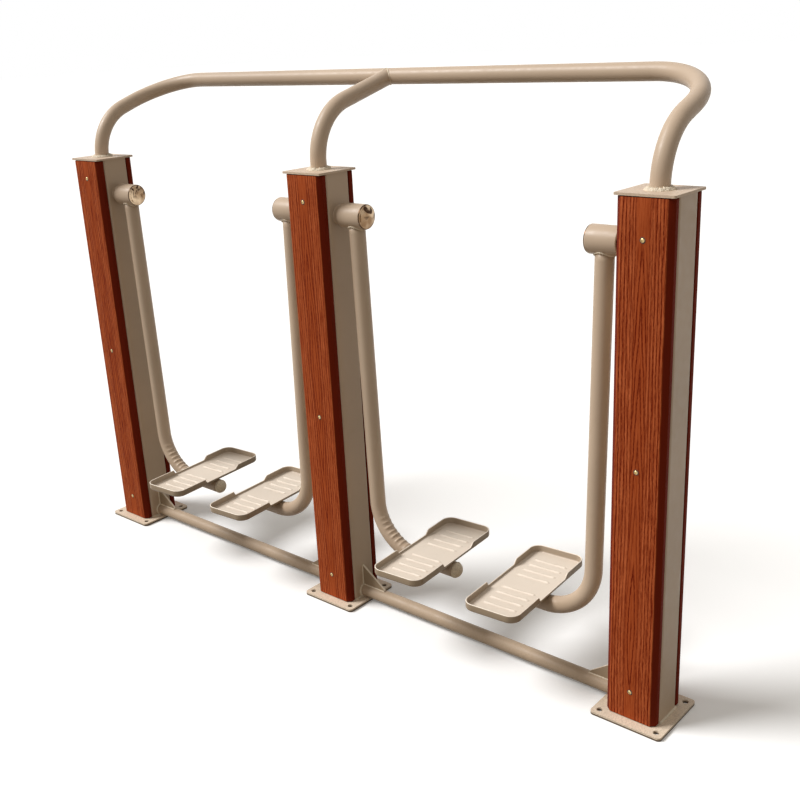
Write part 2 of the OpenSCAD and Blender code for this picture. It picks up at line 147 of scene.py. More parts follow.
def remap(value, span, toLow=0.0, toHigh=1.0):
    inputs = {0: value, 1: span[0], 2: span[1], 3: toLow, 4: toHigh}
    return addNode(treeOf(value), "MapRange", {"clamp": True}, inputs).outputs[0]


def mixColour(factor, a, b, blend="MIX"):
    return addNode(treeOf(factor, a, b), "MixRGB", {"blend_type": blend}, {0: factor, 1: a, 2: b}).outputs[0]


def splitPlace(place):
    return addNode(treeOf(place), "SeparateXYZ", None, {0: place}).outputs


def startMaterial(name, roughness, metallic=0.0):
    made = bpy.data.materials.new(name)
    made.use_nodes = True
    tree = made.node_tree
    shader = tree.nodes["Principled BSDF"]
    shader.inputs["Roughness"].default_value = roughness
    shader.inputs["Metallic"].default_value = metallic
    place = addNode(tree, "TexCoord").outputs["Object"]
    return made, tree, shader, place


def setBump(tree, shader, height, distance, strength):
    bump = addNode(tree, "Bump", None, {"Height": height, "Distance": distance, "Strength": strength})
    tree.links.new(bump.outputs[0], shader.inputs["Normal"])


# painted steel: slow drift of tone, faint smudges and the orange peel of powder coat; scales are per metre;
# tint takes the tree and the place on the piece and gives the share and colour of painted shade and
# highlight;
# speckle is how far small specks lighten and darken the tone
def powderCoat(name, colour, roughness, peel, tint=None, speckle=0.0):
    made, tree, shader, place = startMaterial(name, roughness)
    shader.inputs["Specular IOR Level"].default_value = 0.34
    drift = remap(noise(place, scale=3.0), span=(0.35, 0.65))
    tone = mixColour(drift, linear(colour, gain=0.975), linear(colour, gain=1.015))
    if tint:
        share, other = tint(tree, place)
        tone = mixColour(share, tone, other)
    if speckle:
        specks = remap(noise(place, scale=330.0, detail=2.0, roughness=0.6), span=(0.36, 0.64))
        grey = [(v, v, v, 1.0) for v in (1.0 - speckle, 1.0 + speckle)]
        tone = mixColour(1.0, tone, mixColour(specks, *grey), "MULTIPLY")
    smudge = noise(place, scale=38.0, detail=5.0, roughness=0.65)
    smudge = times(remap(smudge, span=(0.55, 0.8), toHigh=0.22), 0.6)
    tone = mixColour(smudge, tone, linear("smudge"), "MULTIPLY")
    tree.links.new(tone, shader.inputs["Base Color"])
    shine = remap(noise(place, scale=55.0), (0.3, 0.7), toLow=roughness - 0.06, toHigh=roughness + 0.08)
    tree.links.new(shine, shader.inputs["Roughness"])
    setBump(tree, shader, noise(place, scale=620.0, detail=2.0), distance=0.0004, strength=peel)
    return made


# the planks' grain, in metres; its arches lie in a middle band, and its eye differs from board to board
grain = {"pitch": 0.0072, "crest": 0.95, "archCut": 0.0, "sideCut": -0.1, "weightStep": 0.8, "tip": 0.0012,
         "taper": 0.052, "spread": 0.004, "wander": 0.012, "tremble": 0.0024, "pinch": 0.006, "band": 0.0145,
         "bandBlur": 0.002, "border": 0.0013, "borderShare": 0.8, "lowSpan": (0.07, 0.10),
         "highSpan": (1.03, 1.07), "bandCalm": 0.6, "poreShare": 0.5, "streakRelief": 0.35, "eye": 0.70,
         "eyeStep": -0.11, "eyeEnds": -0.32, "eyeBack": 0.04, "eyeRound": 0.03, "seedStep": 1.7}
# noise scales across and along a board, per metre
grainScales = {"wander": (9.0, 2.4), "tremble": (55.0, 95.0), "archPinch": (12.0, 9.0),
               "sidePinch": (30.0, 5.0), "streak": (640.0, 17.0), "pores": (1100.0, 60.0),
               "breaks": (300.0, 110.0)}


# where a point lies on its board: distance across from the post's middle, height, the board's own seed,
# and its distance along from the eye of the grain, rounded off as sqrt(distance^2 + eyeRound^2)
def boardPlace(place):
    x, y, z = splitPlace(place)
    post = mathNode("ROUND", mathNode("DIVIDE", x, postPitch))
    facing = mathNode("SIGN", y)
    eye = plus(times(post, grain["eyeStep"]), grain["eye"])
    eye = plus(eye, times(mathNode("ABSOLUTE", post), grain["eyeEnds"]))
    eye = plus(eye, times(facing, grain["eyeBack"]))
    away = minus(z, eye)
    away = mathNode("SQRT", plus(times(away, away), grain["eyeRound"] ** 2))
    board = {"across": minus(x, times(post, postPitch)), "height": z, "away": away,
             "seed": plus(times(post, grain["seedStep"]), facing)}
    return board, mathNode("ABSOLUTE", y)


# noise drawn out along the board
def boardNoise(board, key, detail=3.0, roughness=0.5):
    acrossScale, alongScale = grainScales[key]
    spot = {0: times(board["across"], acrossScale), 1: board["seed"], 2: times(board["height"], alongScale)}
    spot = addNode(treeOf(board["across"]), "CombineXYZ", None, spot).outputs[0]
    return noise(spot, 1.0, detail, roughness)


# the same noise as a shift either way, at most half of reach
def boardShift(board, key, reach, detail=3.0):
    return times(minus(boardNoise(board, key, detail), 0.5), reach)


# a dark line at every pitch of a distance: a sine cut off below, its strength changing from line to line
def grooves(board, distance, cut):
    wave = mathNode("SINE", times(distance, 2 * math.pi / grain["pitch"]))
    spot = {0: times(distance, grain["weightStep"] / grain["pitch"]), 1: board["seed"]}
    spot = addNode(treeOf(distance), "CombineXYZ", None, spot).outputs[0]
    weight = remap(noise(spot, scale=1.0, detail=1.0), span=(0.32, 0.62), toLow=0.4)
    return times(remap(wave, (cut, grain["crest"])), weight)


# grained board. The face's middle band carries arches, its sides carry lines along the board:
# arch = sqrt(across^2 + tip^2) + taper * distance along the board from the eye of the grain,
# side = |across| + spread * that distance; both wander slowly, tremble finely and repeat every pitch.
# Between them runs a line, exp(-((|across| - band) / border)^2). Gives all lines and the band
def grainLines(board):
    slow = plus(board["across"], boardShift(board, "wander", grain["wander"], detail=2.0))
    off = plus(slow, boardShift(board, "tremble", grain["tremble"]))
    reach = mathNode("ABSOLUTE", off)
    tip = mathNode("SQRT", plus(times(off, off), grain["tip"] ** 2))
    arch = plus(tip, times(board["away"], grain["taper"]))
    arch = plus(arch, boardShift(board, "archPinch", grain["pinch"]))
    side = plus(reach, times(board["away"], grain["spread"]))
    side = plus(side, boardShift(board, "sidePinch", grain["pinch"]))
    height = board["height"]
    shown = times(remap(height, grain["lowSpan"]), remap(height, grain["highSpan"], 1.0, 0.0))
    band, blur = grain["band"], grain["bandBlur"]
    inBand = remap(mathNode("ABSOLUTE", slow), (band - blur, band + blur), 1.0, 0.0)
    archLine = times(times(grooves(board, arch, grain["archCut"]), shown), inBand)
    sideLine = times(grooves(board, side, grain["sideCut"]), minus(1.0, inBand))
    border = mathNode("DIVIDE", minus(reach, band), grain["border"])
    border = mathNode("EXPONENT", times(times(border, border), -1.0))
    line = mathNode("MAXIMUM", plus(archLine, sideLine), times(border, grain["borderShare"]))
    return times(line, remap(boardNoise(board, "breaks"), span=(0.3, 0.55), toLow=0.45)), inBand


# the board's colour: streaks and pores, calmer inside the band, then the grain's lines; its sides are plainer
def plankWood(name):
    made, tree, shader, place = startMaterial(name, roughness=0.6)
    shader.inputs["Specular IOR Level"].default_value = 0.05
    board, depth = boardPlace(place)
    line, inBand = grainLines(board)
    outside = minus(1.0, times(inBand, grain["bandCalm"]))
    streak = boardNoise(board, "streak", detail=4.0, roughness=0.6)
    pores = remap(boardNoise(board, "pores", detail=2.0), span=(0.54, 0.66))
    line = mathNode("MAXIMUM", line, times(times(pores, grain["poreShare"]), outside))
    ground = mixColour(times(remap(streak, span=(0.36, 0.66)), outside), linear("plankFace"),
                       linear("plankBright"))
    dark = times(remap(streak, span=(0.5, 0.34), toHigh=0.6), outside)
    ground = mixColour(dark, ground, linear("plankGrain", gain=1.12))
    face = mixColour(line, ground, linear("plankGrain"))
    edge = remap(streak, span=(0.3, 0.7), toHigh=0.6)
    edge = mixColour(edge, linear("plankEdge"), linear("plankEdge", gain=0.82))
    front = remap(depth, span=(plankFaceY - 0.0016, plankFaceY - 0.0004))
    tree.links.new(mixColour(front, edge, face), shader.inputs["Base Color"])
    relief = plus(times(minus(1.0, line), front), times(streak, grain["streakRelief"]))
    setBump(tree, shader, relief, distance=0.0005, strength=0.55)
    return made


# bright metal: fine scratches and patches that dull it
def brightMetal(name, colour, roughness, haze):
    made, tree, shader, place = startMaterial(name, roughness, metallic=1.0)
    patch = remap(noise(place, scale=70.0, detail=4.0, roughness=0.6), span=(0.4, 0.7))
    tone = mixColour(patch, linear(colour), linear(colour, 1 - haze))
    tree.links.new(tone, shader.inputs["Base Color"])
    tree.links.new(remap(patch, (0.0, 1.0), roughness, roughness + haze), shader.inputs["Roughness"])
    setBump(tree, shader, noise(place, scale=260.0), distance=0.0003, strength=0.08)
    return made


# black rubber or blacked steel: dusty high spots over a fine skin
def blackSkin(name, colour, roughness, skin):
    made, tree, shader, place = startMaterial(name, roughness)
    dust = remap(noise(place, scale=90.0, detail=4.0, roughness=0.6), span=(0.5, 0.8), toHigh=0.5)
    tone = mixColour(dust, linear(colour), linear(colour, gain=2.2))
    tree.links.new(tone, shader.inputs["Base Color"])
    setBump(tree, shader, noise(place, scale=800.0, detail=2.0), distance=0.0004, strength=skin)
    return made


# chromed cap with painted reflections: its tan, its paler patches and the dark strokes above stand in for
# what the mirror finish reflects, and the dark ring at the edge is painted shade; the strokes' span of height
# and the ring's span of distance are metres from the pivot
def capChromeReflections(name, roughness):
    made, tree, shader, place = startMaterial(name, roughness, metallic=1.0)
    y, z = splitPlace(place)[1:]
    height = minus(z, pivotZ)
    away = mathNode("SQRT", plus(times(y, y), times(height, height)))
    swirl = {"Vector": place, "Scale": 31.0, "Detail": 3.0, "Distortion": 2.2}
    swirl = addNode(tree, "TexNoise", None, swirl).outputs[0]
    # painted reflection: dark strokes, most of all above the pivot
    darkReflectionAndShade = times(remap(swirl, span=(0.51, 0.57)), remap(height, span=(-0.010, 0.004), toLow=0.08))
    # painted shade: a dark ring at the cap's edge
    darkReflectionAndShade = mathNode("MAXIMUM", darkReflectionAndShade, remap(away, span=(0.0268, 0.0282), toHigh=0.9))
    pale = remap(noise(place, scale=24.0, detail=2.0), span=(0.4, 0.62))
    tan = mixColour(pale, linear("chrome"), linear("chromePaleReflection"))
    tree.links.new(mixColour(darkReflectionAndShade, tan, linear("chromeDarkReflection")), shader.inputs["Base Color"])
    tree.links.new(remap(darkReflectionAndShade, (0.0, 1.0), roughness, roughness + 0.12), shader.inputs["Roughness"])
    setBump(tree, shader, noise(place, scale=300.0), distance=0.0003, strength=0.06)
    return made


# tones of a tray's coat, kept on its points: full colour on the floor, pressed ribs a little off it with a
# painted highlight on their tops and painted shade at their feet; walls darker as painted shade, rims lighter
# as a painted highlight
trayTone = {"outside": 0.0, "inside": 0.5, "floor": 1.0, "rim": 1.4, "ribTopHighlight": 0.16, "ribFootShade": 0.10}
# heights at which the painted shade on the plates' sides and on the arms' feet sets in, and the distance from
# a gusset's middle at which its faces turn from the painted highlight to the painted shade, in metres
tintSpans = {"plateSideShade": (0.0032, 0.0044), "footShade": (0.160, 0.245), "gussetFaceShade": (0.0026, 0.0029)}
footShadeMost = 0.75


# painted shade and highlights: the tray's walls are painted darker than its floor as shade, most of all
# outside; rims and rib tops are painted lighter as highlights
def trayPaintedLight(tree, place):
    tone = addNode(tree, "Attribute", {"attribute_name": "tone"}).outputs["Fac"]
    outside, inside, flat, rim = (trayTone[key] for key in ("outside", "inside", "floor", "rim"))
    walls = mixColour(remap(tone, (outside, inside)), linear("trayOutsideShade"), linear("trayInsideShade"))
    tint = mixColour(mathNode("GREATER_THAN", tone, flat), walls, linear("trayRimHighlight"))
    return plus(remap(tone, (inside, flat), 1.0, 0.0), remap(tone, (flat, rim))), tint


# painted shade: the base plates' cut sides darken towards the ground
def plateShade(tree, place):
    return remap(splitPlace(place)[2], tintSpans["plateSideShade"], 1.0, 0.0), linear("plateSideShade")


# painted shade: the arms darken towards their feet, under the trays
def footShadeTint(tree, place):
    return remap(splitPlace(place)[2], tintSpans["footShade"], footShadeMost, 0.0), linear("footShade")


# painted shade and highlight: a gusset's two faces are painted darker than its cut edge, which is painted
# lighter as a highlight
def gussetHighlightAndShade(tree, place):
    onFace = remap(mathNode("ABSOLUTE", splitPlace(place)[1]), tintSpans["gussetFaceShade"])
    return 1.0, mixColour(onFace, linear("gussetEdgeHighlight"), linear("gussetFaceShade"))


finishes = {
    "powder_coat": powderCoat("PowderCoat", "coat", roughness=0.42, peel=0.18),
    "pedal_coat": powderCoat("PedalCoat", "coatPale", roughness=0.46, peel=0.22),
    "plank": plankWood("PlankWood"),
    "screw_brass": brightMetal("ScrewBrass", "brass", roughness=0.26, haze=0.12),
    "bright_steel": brightMetal("BrightSteel", "steel", roughness=0.3, haze=0.1),
    "hub_chrome": capChromeReflections("HubChrome", roughness=0.12),
    "seal_rubber": blackSkin("SealRubber", "rubber", roughness=0.62, skin=0.3),
    "black_steel": blackSkin("BlackSteel", "blackSteel", roughness=0.45, skin=0.2),
}
# painted highlight: the weld beads take a paler copy of the coat
litWeldCoat = powderCoat("WeldCoat", "weld", roughness=0.5, peel=0.6)
armCoat = powderCoat("ArmCoat", "coat", roughness=0.42, peel=0.18, tint=footShadeTint)
# painted light: the end plugs take a paler, speckled copy of the coat
litPlugCoat = powderCoat("PlugCoat", "litPlugCoat", roughness=0.5, peel=0.5, speckle=0.16)
trayCoat = powderCoat("TrayCoat", "coatPale", roughness=0.42, peel=0.22, tint=trayPaintedLight)
# painted light: the base and cap plates take lighter copies of the coat
litPlateCoat = powderCoat("PlateCoat", "plateTopLit", roughness=0.55, peel=0.3, tint=plateShade, speckle=0.13)
litCapCoat = powderCoat("CapCoat", "capTopLit", roughness=0.5, peel=0.3, speckle=0.09)
# painted shade: the ground tubes under the trays take a darker copy of the coat
shadedTubeCoat = powderCoat("TubeCoat", "shadedTubeCoat", roughness=0.52, peel=0.2, speckle=0.05)
gussetCoat = powderCoat("GussetCoat", "coat", roughness=0.5, peel=0.2, tint=gussetHighlightAndShade)
# nodes whose coat isn't their slot's: copies of it with painted light and shade
ownCoats = {"ground_gussets": gussetCoat, "left_ground_tube": shadedTubeCoat, "right_ground_tube": shadedTubeCoat}
for post in postX:
    ownCoats[f"{post}_base_plate"] = litPlateCoat
    ownCoats[f"{post}_cap_plate"] = litCapCoat
for part in frame["record"]["subparts"]:
    cadNode = frame["nodes"][part["node"]]
    cadNode.data.materials.clear()
    cadNode.data.materials.append(ownCoats.get(part["node"], finishes[part["material_slot"]]))
print("materials on", len(frame["nodes"]), "nodes")


def addObject(name, data):
    made = bpy.data.objects.new(name, data)
    bpy.context.scene.collection.objects.link(made)
    return made


# a new piece: its grids' points and faces merged and turned outwards, its finish (the slot's finish when none
# is given), its body and the nodes it stands for, which it hides; edges sharper than the angle, in degrees,
# stay sharp
def makePiece(name, grids, body, slotName, material=None, stands=(), sharp=None, closed=True):
    points, faces = joinGrids(grids, closed)
    mesh = bpy.data.meshes.new(name)
    mesh.from_pydata(points.tolist(), [], faces.tolist())
    work = bmesh.new()
    work.from_mesh(mesh)
    bmesh.ops.remove_doubles(work, verts=work.verts, dist=1e-6)
    bmesh.ops.recalc_face_normals(work, faces=work.faces)
    work.to_mesh(mesh)
    work.free()
    mesh.shade_smooth()
    if sharp:
        mesh.set_sharp_from_angle(angle=math.radians(sharp))
    piece = addObject(name, mesh)
    mesh.materials.append(material or finishes[slotName])
    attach(piece, body)
    if stands:
        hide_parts(*stands)
    return piece


# quads between neighbouring rings of a grid of rows by columns; columns close when asked
def gridFaces(rows, columns, closed, start):
    last = columns if closed else columns - 1
    r, c = np.meshgrid(np.arange(rows - 1), np.arange(last), indexing="ij")
    n = (c + 1) % columns
    quads = np.stack([r * columns + c, r * columns + n, (r + 1) * columns + n, (r + 1) * columns + c], -1)
    return quads.reshape(-1, 4) + start


# points and faces of several grids, joined
def joinGrids(grids, closed):
    points, faces, start = [], [], 0
    for grid in grids:
        rows, columns = grid.shape[:2]
        points.append(grid.reshape(-1, 3))
        faces.append(gridFaces(rows, columns, closed, start))
        start += rows * columns
    return np.concatenate(points), np.concatenate(faces)


# a stack of rings closed at both ends by a ring whose points all lie at the end ring's mean
def capped(rings):
    low = np.repeat(rings[:1].mean(1, keepdims=True), rings.shape[1], 1)
    high = np.repeat(rings[-1:].mean(1, keepdims=True), rings.shape[1], 1)
    return np.concatenate([low, rings, high])


# evenly spaced angles of a full turn
def fullTurn(steps):
    return np.linspace(0, 2 * np.pi, steps, endpoint=False)


# for each point of a path and each angle: cos(angle) * first direction + sin(angle) * second
def ringDirections(turn, first, second):
    return np.cos(turn)[None, :, None] * first[:, None] + np.sin(turn)[None, :, None] * second[:, None]


# profile of (distance along the axis, radius) turned about the line along X through origin;
# side -1 lays the profile out towards -X
def turned(profile, origin, side, steps=72):
    turn = fullTurn(steps)
    along, radius = np.array(profile, float).T
    grid = np.zeros((len(along), steps, 3))
    grid[..., 0] = origin[0] + side * along[:, None]
    grid[..., 1] = origin[1] + radius[:, None] * np.sin(turn)
    grid[..., 2] = origin[2] + radius[:, None] * np.cos(turn)
    return grid


# points of an arc about centre from one angle to another, for rounding a profile's corner
def fillet(centre, radius, fromDegrees, toDegrees, steps=6):
    a = np.radians(np.linspace(fromDegrees, toDegrees, steps))
    return [(centre[0] + radius * math.cos(t), centre[1] + radius * math.sin(t)) for t in a]


bead = {"sides": 10, "puddle": 0.2, "puddleRows": 3.0, "puddleStray": 0.16, "lump": 0.08, "steep": 0.9}


# weld bead: a tube along a path, of radius * (1 + puddle * |sin(pi * row / puddleRows)| + stray noise of
# the row) * (1 + noise of the point)
def beadGrid(path, radius, closed, seed):
    path = np.asarray(path, float)
    ahead = np.roll(path, -1, 0) - np.roll(path, 1, 0) if closed else np.gradient(path, axis=0)
    ahead /= np.linalg.norm(ahead, axis=1, keepdims=True)
    up = np.where(np.abs(ahead[:, 2:3]) > bead["steep"], [[1.0, 0, 0]], [[0, 0, 1.0]])
    right = np.cross(ahead, up)
    right /= np.linalg.norm(right, axis=1, keepdims=True)
    up = np.cross(right, ahead)
    draw = np.random.default_rng(seed)
    count = len(path)
    puddle = 1 + bead["puddle"] * np.abs(np.sin(np.arange(count) * np.pi / bead["puddleRows"]))
    puddle = puddle + bead["puddleStray"] * draw.standard_normal(count)
    lumps = 1 + bead["lump"] * draw.standard_normal((count, bead["sides"]))
    spread = radius * (puddle[:, None] * lumps)[..., None]
    rings = path[:, None] + spread * ringDirections(fullTurn(bead["sides"]), right, up)
    if closed:
        return np.concatenate([rings, rings[:1]])
    return capped(rings)


# where a branch tube of radius r meets a tube of radius R that lies along X: lateral offset r sin,
# depth sqrt(R^2 - offset^2), and along X r cos + lean * depth
def saddlePath(centre, direction, mainRadius, branchRadius, lean=0.0, steps=120):
    turn = fullTurn(steps)
    direction = np.array(direction, float)
    across = np.cross([1.0, 0, 0], direction)
    offset = branchRadius * np.sin(turn)
    depth = np.sqrt(np.maximum(mainRadius**2 - offset**2, 0))
    x = branchRadius * np.cos(turn) + depth * lean
    return np.array(centre) + x[:, None] * [1.0, 0, 0] + offset[:, None] * across + depth[:, None] * direction


plank = {"halfWidth": 0.060, "back": 0.040, "bevelWide": 0.011, "bevelDeep": 0.010, "arris": 0.0016,
         "bottom": 0.010, "top": 1.143, "rows": 24, "endStep": 0.001, "endDraw": 0.985}


# outline with each corner cut by a small arc: points at the arris distance from the corner, joined by
# a quadratic through the corner
def softOutline(corners, arris, steps=5):
    corners = np.array(corners, float)
    before, after = np.roll(corners, 1, 0), np.roll(corners, -1, 0)
    out = []
    for a, b, c in zip(before, corners, after):
        p = b + (a - b) / np.linalg.norm(a - b) * arris
        q = b + (c - b) / np.linalg.norm(c - b) * arris
        t = np.linspace(0, 1, steps)[:, None]
        out.append((1 - t) ** 2 * p + 2 * t * (1 - t) * b + t**2 * q)
    return np.concatenate(out)


# board: the soft outline of a rectangle with two bevelled corners, stacked by height; at both sawn ends
# it is drawn in to endDraw of its size about its middle
def makePlank(post, facing):
    w, f, step = plank["halfWidth"], plankFaceY, plank["endStep"]
    corners = [(-w, plank["back"]), (w, plank["back"]), (w, f - plank["bevelDeep"]),
               (w - plank["bevelWide"], f), (plank["bevelWide"] - w, f), (-w, f - plank["bevelDeep"])]
    outline = softOutline(corners, plank["arris"])
    between = np.linspace(plank["bottom"] + step, plank["top"] - step, plank["rows"])
    heights = np.array([plank["bottom"], *between, plank["top"]])
    size = np.ones(len(heights))
    size[[0, -1]] = plank["endDraw"]
    middle = np.array([0, (plank["back"] + f) / 2])
    ring = middle + (outline - middle) * size[:, None, None]
    rings = np.zeros((len(heights), len(outline), 3))
    rings[..., 0] = postX[post] + ring[..., 0]
    rings[..., 1] = facing * ring[..., 1]
    rings[..., 2] = heights[:, None]
    side = "front" if facing < 0 else "rear"
    makePiece(f"{post}{side.title()}Plank", [capped(rings)], "frame", "plank",
              stands=[f"{post}_{side}_plank"], sharp=30)


for post in postX:
    makePlank(post, -1)
    makePlank(post, 1)
print("planks done")

screw = {"headRadius": 0.0045, "rise": 0.003, "domeShare": 0.92, "slotHalf": 0.0006, "slotReach": 0.0024,
         "slotDeep": 0.0012, "pastSlot": 1.15, "slotRings": 12, "outerFrom": 0.0031, "outerRings": 5,
         "foot": 0.0005, "around": 48,
         "heights": {"left": (0.077, 0.568, 1.093), "middle": (0.077, 0.531, 1.080),
                     "right": (0.077, 0.595, 1.064)}}
screwPlaces = [(x, z, facing) for post, x in postX.items() for facing in (-1, 1)
               for z in screw["heights"][post]]


# domed head, height = rise * sqrt(1 - domeShare * (distance / radius)^2), less the recess where the point
# lies inside either slot
def screwHead(x, z, facing):
    turn = fullTurn(screw["around"])
    inner = np.linspace(0, screw["slotReach"] * screw["pastSlot"], screw["slotRings"])
    radii = np.concatenate([inner, np.linspace(screw["outerFrom"], screw["headRadius"], screw["outerRings"])])
    a, b = radii[:, None] * np.cos(turn), radii[:, None] * np.sin(turn)
    share = np.clip(radii / screw["headRadius"], 0, 1)
    rise = screw["rise"] * np.sqrt(1 - screw["domeShare"] * share**2)
    half, reach = screw["slotHalf"], screw["slotReach"]
    inSlot = ((np.abs(a) < half) & (np.abs(b) < reach)) | ((np.abs(b) < half) & (np.abs(a) < reach))
    rise = rise[:, None] - np.where(inSlot, screw["slotDeep"], 0)
    grid = np.stack([x + a, facing * (plankFaceY + rise), z + b], -1)
    foot = grid[-1:].copy()
    foot[..., 1] = facing * (plankFaceY - screw["foot"])
    return capped(np.concatenate([grid[1:], foot]))


heads = [screwHead(*spot) for spot in screwPlaces]
makePiece("plankScrewHeads", heads, "frame", "screw_brass", stands=["plank_screws"], sharp=35)

shadeDisc = {"inner": 0.0040, "outer": 0.0060, "rim": 0.0006, "rise": 0.0005, "rimShare": 0.4, "foot": 0.0004,
            "around": 32}


# painted shade round a head: a black flat disc under it, whose rim falls to the face, stands in for the shade
# round the head
def screwShadeDisc(x, z, facing):
    turn = fullTurn(shadeDisc["around"])
    outer, rise = shadeDisc["outer"], shadeDisc["rise"]
    radii = np.array([shadeDisc["inner"], outer - shadeDisc["rim"], outer, outer])
    a, b = radii[:, None] * np.cos(turn), radii[:, None] * np.sin(turn)
    lift = np.array([rise, rise, rise * shadeDisc["rimShare"], -shadeDisc["foot"]])
    lift = np.broadcast_to(lift[:, None], a.shape)
    return capped(np.stack([x + a, facing * (plankFaceY + lift), z + b], -1))


# painted shade: black discs round the screw heads
makePiece("plankScrewShadeDiscs", [screwShadeDisc(*spot) for spot in screwPlaces], "frame", "black_steel", sharp=35)
print("screws done")

# bead radii, the step between a bead's rings, and how far beads stand off what they join; each riser pass
# is a height above the post's top, a distance out and a share of the bead
weld = {"step": 0.0011, "leastRound": 24, "leastLine": 6, "off": 0.0006, "closeOff": 0.0004,
        "riserBead": 0.0050, "riserRadius": 0.0215,
        "riserPasses": ((0.0004, 0.0009, 1.0), (-0.0006, 0.0046, 0.72)), "railBead": 0.0014, "railSeed": 40,
        "plateBead": 0.0028, "plateX": 0.0606, "plateHalf": 0.037, "plateZ": 0.0084, "tubeBead": 0.0024,
        "gussetBead": 0.0018, "gussetFrom": 0.004, "gussetLess": 0.002, "heelSeed": 60, "hubBead": 0.0018,
        "armOff": 0.0008, "bracketBead": 0.0022, "armSeed": 31, "bracketSeed": 7}
rail = {"radius": 0.020, "back": 0.272, "height": 1.3490, "bend": 75.0}
groundTube = {"radius": 0.017, "z": 0.025, "end": 0.060, "gussetLength": 0.076, "gussetHeight": 0.0572,
              "gussetHalf": 0.003}


# circle about an axis along Z or X, as many points as its length holds steps
def circlePath(centre, radius, axis="z"):
    turn = fullTurn(max(weld["leastRound"], int(2 * np.pi * radius / weld["step"])))
    first, second, zero = np.cos(turn) * radius, np.sin(turn) * radius, np.zeros(len(turn))
    ring = [first, second, zero] if axis == "z" else [zero, first, second]
    return np.array(centre) + np.stack(ring, -1)


# straight line from a to b: a + (b - a) * share
def linePath(a, b):
    a, b = np.array(a, float), np.array(b, float)
    steps = max(weld["leastLine"], int(np.linalg.norm(b - a) / weld["step"]))
    return a + (b - a) * np.linspace(0, 1, steps)[:, None]


beads = []
seed = 1
# each post: the riser's foot in two passes, and a line on each side where the post meets its plate
for x in postX.values():
    for lift, out, share in weld["riserPasses"]:
        seed += 1
        path = circlePath((x, 0, postTop + lift), weld["riserRadius"] + out)
        beads.append(beadGrid(path, weld["riserBead"] * share, True, seed))
    for side in (-1, 1):
        seed += 1
        seamX = x + side * weld["plateX"]
        path = linePath(*((seamX, y * weld["plateHalf"], weld["plateZ"]) for y in (-1, 1)))
        beads.append(beadGrid(path, weld["plateBead"], False, seed))
# the middle riser's saddle on the rail
slope = math.radians(rail["bend"])
saddle = rail["radius"] + weld["closeOff"]
path = saddlePath((0, rail["back"], rail["height"]), (0, -math.sin(slope), -math.cos(slope)), saddle, saddle)
beads.append(beadGrid(path, weld["railBead"], True, weld["railSeed"]))
# each ground tube's end on its post, and both edges of its gusset along the tube and up the post
crown = groundTube["z"] + math.sqrt(groundTube["radius"] ** 2 - groundTube["gussetHalf"] ** 2)
peak = groundTube["z"] + groundTube["radius"] + groundTube["gussetHeight"] - weld["gussetLess"]
for spec in arms.values():
    side = spec["side"]
    seed += 1
    foot = postX[spec["post"]] + side * groundTube["end"]
    seam = (foot + side * weld["off"], 0, groundTube["z"])
    path = circlePath(seam, groundTube["radius"] + weld["off"], "x")
    beads.append(beadGrid(path, weld["tubeBead"], True, seed))
    tip = foot + side * groundTube["gussetLength"]
    heel = foot + side * weld["closeOff"]
    for y in (-1, 1):
        seed += 1
        edge = y * (groundTube["gussetHalf"] + weld["closeOff"])
        path = linePath((foot + side * weld["gussetFrom"], edge, crown), (tip, edge, crown))
        beads.append(beadGrid(path, weld["gussetBead"], False, seed))
        path = linePath((heel, edge, crown), (heel, edge, peak))
        beads.append(beadGrid(path, weld["gussetBead"], False, seed + weld["heelSeed"]))
makePiece("frameWelds", beads, "frame", "powder_coat", litWeldCoat)
print("frame welds done")

arm = {"radius": 0.020, "x": 0.114, "lean": math.radians(1.2), "bendRadius": 0.126, "footZ": 0.184,
       "endX": 0.380, "legTop": (0, 0.04, 0.06), "legFrom": 0.12, "legRows": 24, "bendRows": 190,
       "footRows": 14, "joinGap": 0.004, "hubSunk": 0.0008, "around": 48, "seed": 11}
# ridges and hollow inside the bend: places and reaches as shares of the bend's arc or of the pitch
wrinkle = {"count": 8, "pitch": 0.0135, "height": 0.0027, "middle": 0.52, "stray": 0.0006, "fade": 0.55,
           "least": 0.85, "differ": 0.25, "wide": 0.23, "window": 0.86, "hollow": 0.0009, "hollowReach": 0.36}
hub = {"start": 0.076, "end": 0.146, "radius": 0.030, "bore": 0.026, "round": 0.0012, "lip": 0.003}


